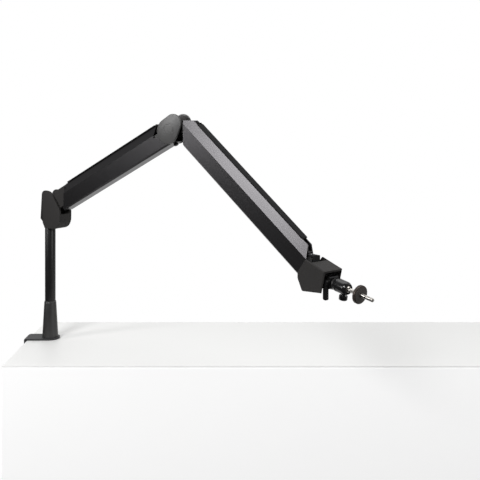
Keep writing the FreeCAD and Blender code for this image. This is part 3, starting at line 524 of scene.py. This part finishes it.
# Riser socket: a cone of cast alloy in satin black, with a rounded rim and a thin dark ring at
# its mouth. Both are lathed; the tube stands in the bore.
cast = coat("cast_black", (0.017, 0.0165, 0.0165), 0.42, grain=1100.0, depth=0.00004)
upright_place = Matrix.Identity(4)
plate_top, cone_top, tube_foot, tube_top, bore = 3.5, 77.5, 29.5, 234.0, 11.03
cone_outline = [(plate_top, 0), (plate_top, 15.9), (plate_top + 0.6, 16.45), (cone_top - 2.2, 12.5),
                (cone_top - 0.7, 12.3), (cone_top, 11.8), (cone_top, bore), (tube_foot, bore), (tube_foot, 0)]
cone = lathe("riser_cone", cone_outline, upright_place, 96, "z")
stand_in(cone, "riser_socket", "clamp", cast)
ring_outline = soft_ends(cone_top + 0.05, cone_top + 1.6, 12.1, bore, 0.4)
mouth_ring = lathe("mouth_ring", ring_outline, upright_place, 96, "z")
ring_grey = coat("ring_grey", (0.05, 0.05, 0.05), 0.3, grain=400.0)
stand_in(mouth_ring, "socket_ring", "clamp", ring_grey)

# Riser tube: 22 mm steel tube, satin black, with a small round at its top edge. Lathed. The bolt
# under it, the spigot in its top, the pod's screw and the set screw are carried over.
satin = coat("satin_black", (0.008, 0.0078, 0.0078), 0.3, grain=60.0, depth=0.000004,
             stretch=(6, 6, 0.4), shine=0.3)
tube = lathe("upright_tube", soft_ends(tube_foot, tube_top, 11.0, 9.2, 0.5), upright_place, 96, "z")
stand_in(tube, "riser_tube", "clamp", satin)
wear(["riser_spigot", "pan_screw", "riser_bolt"], zinc)
wear(["socket_grub"], cast)

# Pod cheeks: moulded covers on both sides of the pod, with generous rounds and soft edges.
# An outline thickened, its corners and rim bevelled, and mirrored for the far side.
pod_low, pod_high, cheek_face, cheek_back = 234.35, 313.2, -16.6, -14.7
cheek_outline = [(1.5, pod_low), (33.6, pod_low), (44.5, pod_low + 13), (45.1, pod_low + 40),
                 (15.5, pod_high), (-7.9, pod_high), (-7.9, pod_low + 15)]
cheek_corners = [5.5, 8.5, 7.5, 5.5, 8, 9.5, 5.2]
cheek_near = plate("pod_cheek_near", cheek_outline, cheek_face, cheek_back, cheek_corners, 1.5,
                   riser_frame, 5)
cheek_far = mirrored(cheek_near, "pod_cheek_far", riser_frame)
stand_in(cheek_near, "pod_cover_near", "pod", moulding)
stand_in(cheek_far, "pod_cover_far", "pod", moulding)

# Pod body: the casting between the cheeks, in the same black moulding finish, with its plated
# bolt and nylon washers inside. Carried over, as are the elbow's washers and spacers.
nylon = coat("nylon", (0.03, 0.03, 0.03), 0.5, grain=600.0)
wear(["pod_body"], moulding, 0.6)
wear(["pod_bolt"], zinc)
wear(["pod_washers", "elbow_washers", "elbow_spacers"], nylon)

# Arm sections: black anodised box sections with fine lengthwise brushing. Carried over from the
# frame, edges rounded; the grain is drawn along each arm.
def anodise(name, along, painted_shade):
    """Brushed anodising along a frame's X axis; painted_shade darkens its colour as painted shade."""
    made, shader, here = paint(name, along)
    line = noise(stretched(here, (5, 900, 900)), 1.0, 5.0, 0.65)
    haze = noise(stretched(here, (14, 40, 40)), 1.0, 2.0)
    tints = ((0.042, 0.041, 0.043), (0.045, 0.043, 0.045), (0.052, 0.05, 0.053))
    low, mid, high = [[channel * painted_shade for channel in tint] for tint in tints]
    feed(shader, Base_Color=mixed(mixed(low, high, line), mid, haze * 0.5), Metallic=0.8,
         Roughness=line * 0.05 + haze * 0.04 + 0.25, Normal=bump(line, 0.000002))
    return made


# The lower arm's copy is darkened to 0.7 as painted shade, for the dimmer light on its sides; the upper arm
# keeps the full tone.
wear(["lower_section"], anodise("anodised_lower_painted_shade", lower_frame, 0.7), 0.35)
wear(["upper_section"], anodise("anodised_upper", upper_frame, 1.0), 0.35)
wear(["lower_knuckle", "upper_knuckle"], moulding, 0.5)

# Cable covers: matt black strips clipped into the channel on top of each arm, with rounded ends
# and a tongue below. Each is an outline thickened and bevelled; the tongue is joined on.
cover_black = coat("cover_black", (0.009, 0.009, 0.0095), 0.78, grain=1200.0, depth=0.00006, shine=0.15)
cover_half, cover_low, cover_high = 8.8, 22.9, 25.1
tongue_half, tongue_low, tongue_inset = 4.7, 19.8, 4


def cover(name, start, end, where):
    """A cover strip with its tongue, from start to end along an arm."""
    lying = where @ upended
    outline = [(start, -cover_half), (end, -cover_half), (end, cover_half), (start, cover_half)]
    strip = plate(name, outline, cover_high, cover_low, [3.2] * 4, 0.9, lying, 4)
    first, last = start + tongue_inset, end - tongue_inset
    inner = [(first, -tongue_half), (last, -tongue_half), (last, tongue_half), (first, tongue_half)]
    tongue = plate("tongue", inner, cover_low + 0.1, tongue_low, [1.0] * 4, 0, lying)
    return joined(name, strip, tongue)


strip_lower = cover("cover_strip_lower", 56, 317, lower_frame)
strip_upper = cover("cover_strip_upper", 36, 329, upper_frame)
stand_in(strip_lower, "lower_cover", "lower_lid", cover_black)
stand_in(strip_upper, "upper_cover", "upper_lid", cover_black)

# Springs inside the sections: oiled steel coils on plated plugs and hooks, with a coated steel
# plate across the lower arm. Carried over from the frame.
spring_steel = coat("spring_steel", (0.25, 0.25, 0.26), 0.28, grain=400.0, metal=1.0)
wear(["lower_spring", "upper_spring"], spring_steel)
wear(["lower_spring_plug", "upper_spring_plug", "lower_spring_hook", "upper_spring_hook"], zinc)
wear(["lower_cross_plate"], steel_black)

# Elbow caps: smooth moulded side caps, two rounds joined by tangents, with a fine plain ring
# pressed into the face. An outline thickened and its rim rounded; the ring is in the surface.
cap_steps = 32
big, small = (343.7, -2.1, 24.0), (361.6, 4.5, 18.5)
lean = math.atan2(small[1] - big[1], small[0] - big[0])
spread = math.acos((big[2] - small[2]) / math.hypot(small[0] - big[0], small[1] - big[1]))
cap_outline = []
arcs = ((big, lean + spread, lean - spread + 2 * math.pi), (small, lean - spread, lean + spread))
for (x, z, radius), first, last in arcs:
    for step in range(cap_steps + 1):
        turn = first + (last - first) * step / cap_steps
        cap_outline.append((x + radius * math.cos(turn), z + radius * math.sin(turn)))
cap_face, cap_back = -17.8, -14.5
cap_black, shader, here = paint("cap_moulding", lower_frame)
spark = noise(here, 1300.0, 4.0, 0.6)
cloud = noise(here, 30.0, 3.0)
along, side, height = parts_of(here)
past_middle, ring_inside, ring_outside, ring_blur = along - 0.3475, 0.0098, 0.0106, 0.0004
from_middle = Socket.sum("SQRT", past_middle * past_middle + height * height)
ring = (from_middle.ramp(ring_inside, ring_inside + ring_blur)
        * (1 - from_middle.ramp(ring_outside, ring_outside + ring_blur)))
feed(shader, Base_Color=mixed((0.062, 0.061, 0.061), (0.074, 0.073, 0.072), spark * 0.6 + cloud * 0.4),
     Roughness=cloud * 0.08 + 0.3, Normal=bump(spark * 0.03 - ring, 0.00015))
cap_near = plate("elbow_disc_near", cap_outline, cap_face, cap_back, [0] * len(cap_outline), 0.9,
                 lower_frame, 4)
cap_far = mirrored(cap_near, "elbow_disc_far", lower_frame)
stand_in(cap_near, "elbow_cap_near", "lower_arm", cap_black)
stand_in(cap_far, "elbow_cap_far", "lower_arm", cap_black)

# Forks, tilt block and adapter stem: black cast alloy. The yoke under the head shells is bent
# steel in matt black, and the pivots are zinc-plated steel. Carried over, edges rounded.
wear(["elbow_fork", "tip_fork", "tilt_block", "adapter_stem"], cast, 0.3)
wear(["elbow_bolt", "tilt_pins", "swivel_pin"], zinc)
wear(["head_yoke"], cover_black, 0.4)

# Friction screw: black steel screw under the elbow, with a flanged head and a round socket.
# Lathed; it threads into the elbow fork.
under_elbow = lower_frame @ Matrix.Translation((339.6 * MM, 0, 0))
friction_outline = [(-30.0, 2.1), (-30.0, 3.9), (-29.5, 4.4), (-27.4, 4.5), (-26.1, 4.5), (-26.0, 4.2),
                    (-26.0, 2.45), (-17.3, 2.45), (-17.0, 2.1), (-17.0, 0), (-28.2, 0), (-28.2, 2.1)]
friction = lathe("friction_screw_head", friction_outline, under_elbow, 48, "z")
stand_in(friction, "elbow_screw", "friction_screw", cast)

# Head shells: two moulded halves round the tilting block, in the pod's black, with soft edges.
# Carried over, as are the small black screws that hold them to the yoke.
wear(["head_shell_near", "head_shell_far"], moulding, 1.6)
wear(["head_screws"], cast)

# Collar and thumb screw: gloss black alloy, the collar round the stem and the screw clamping it.
# Carried over with rounded edges.
gloss = coat("ball_black", (0.007, 0.007, 0.0075), 0.16, grain=300.0, depth=0.000004, sheen=0.03)
wear(["wing_collar", "wing_screw"], gloss, 0.7)

# Ball housing: gloss black alloy, turned with a waist groove, a tapered nose and an open mouth
# round the ball. Lathed as one outline, mouth included.
housing_outline = [(-22.0, 0), (-22.0, 9.4), (-21.4, 10.4), (-20.0, 10.9), (-16.4, 11.0), (-15.9, 10.2),
                   (-14.7, 10.2), (-14.2, 11.0), (-1.0, 11.0), (1.2, 10.7), (3.4, 9.8), (5.4, 8.5),
                   (6.0, 8.1), (5.9, 7.85), (3.4, 7.1), (0.0, 7.85), (-4.5, 6.4), (-7.85, 0)]
housing = lathe("ball_socket", housing_outline, ball_frame, 96)
stand_in(housing, "ball_housing", "ball_head", gloss)

# Lock knob: knurled gloss black knob under the housing, on its short stem. Lathed, with every
# other strip of its rim pressed in for the knurl.
knob_place = ball_frame @ Matrix.Translation((-4 * MM, 0, 0))
lock_outline = [(-20.5, 0), (-20.5, 5.6), (-19.9, 6.6), (-19.2, 7.0), (-13.3, 7.0), (-12.6, 6.4),
                (-12.5, 2.9), (-8.5, 2.9), (-8.5, 0)]
lock = lathe("knurled_lock", lock_outline, knob_place, 72, "z", tooth=0.35)
stand_in(lock, "lock_knob", "lock", gloss)

# Ball, neck and flange, and the 1/4 inch stud with its 1.27 mm thread: bright plated steel. The
# ball and neck are lathed, and the stud's tooth is swept round a core beyond a plain relief.
bright_steel = coat("stud_steel", (0.56, 0.54, 0.51), 0.22, grain=300.0, metal=1.0, depth=0.000004)
ball_radius, neck_radius, flange_start, flange_end = 7.5, 3.4, 22.9, 26.7
ball_outline, ball_steps, neck_turn = [], 18, 151.2
for step in range(ball_steps + 1):
    turn = math.radians(180 - neck_turn * step / ball_steps)
    ball_outline.append((ball_radius * math.cos(turn), ball_radius * math.sin(turn)))
ball_outline += [(7.6, neck_radius), (21.5, neck_radius), (flange_start, neck_radius + 0.8),
                 (flange_start, 5.6), (flange_start + 0.4, 6.0), (flange_end - 0.4, 6.0),
                 (flange_end, 5.6), (flange_end, 0)]
ball = lathe("ball_and_neck", ball_outline, ball_frame, 72)
stand_in(ball, "ball_stem", "ball", bright_steel)
relief_end = 34.0
stud = thread("threaded_stud", 3.175, 0.45, 1.27, relief_end - 0.5, 58.0, ball_frame)
relief = lathe("relief", soft_ends(flange_end, relief_end, 2.85, 0.0, 0.2), ball_frame, 40)
stud = joined("threaded_stud", stud, relief)
stand_in(stud, "mic_stud", "ball", bright_steel)

# Locking disc: dark bronze-toned alloy with a knurled rim and turned faces, on the stud's relief.
# Lathed, its rim pressed in like the knob's. The rubber ring on its face is carried over.
disc_start, disc_end, disc_radius, disc_face, disc_bore = 27.0, 32.0, 15.0, 14.2, 3.23
disc_outline = [(disc_start, disc_bore), (disc_start, disc_face), (disc_start + 0.6, disc_radius),
                (disc_end - 0.6, disc_radius), (disc_end, disc_face), (disc_end, disc_bore)]
disc = lathe("knurled_disc", disc_outline, ball_frame, 120, tooth=0.4)
bronze, shader, here = paint("disc_bronze", ball_frame)
along, side, height = parts_of(here)
distance = Socket.sum("SQRT", side * side + height * height)
turning = Socket.sum("SINE", distance * 9000.0)
speck = noise(here, 700.0, 3.0)
feed(shader, Base_Color=mixed((0.055, 0.045, 0.04), (0.1, 0.082, 0.072), speck), Metallic=0.6,
     Roughness=speck * 0.15 + 0.3, Normal=bump(turning, 0.00001))
stand_in(disc, "locking_disc", "disc", bronze)
wear(["disc_pad"], coat("disc_face", (0.03, 0.025, 0.022), 0.5, grain=900.0, depth=0.00005), 0.2)
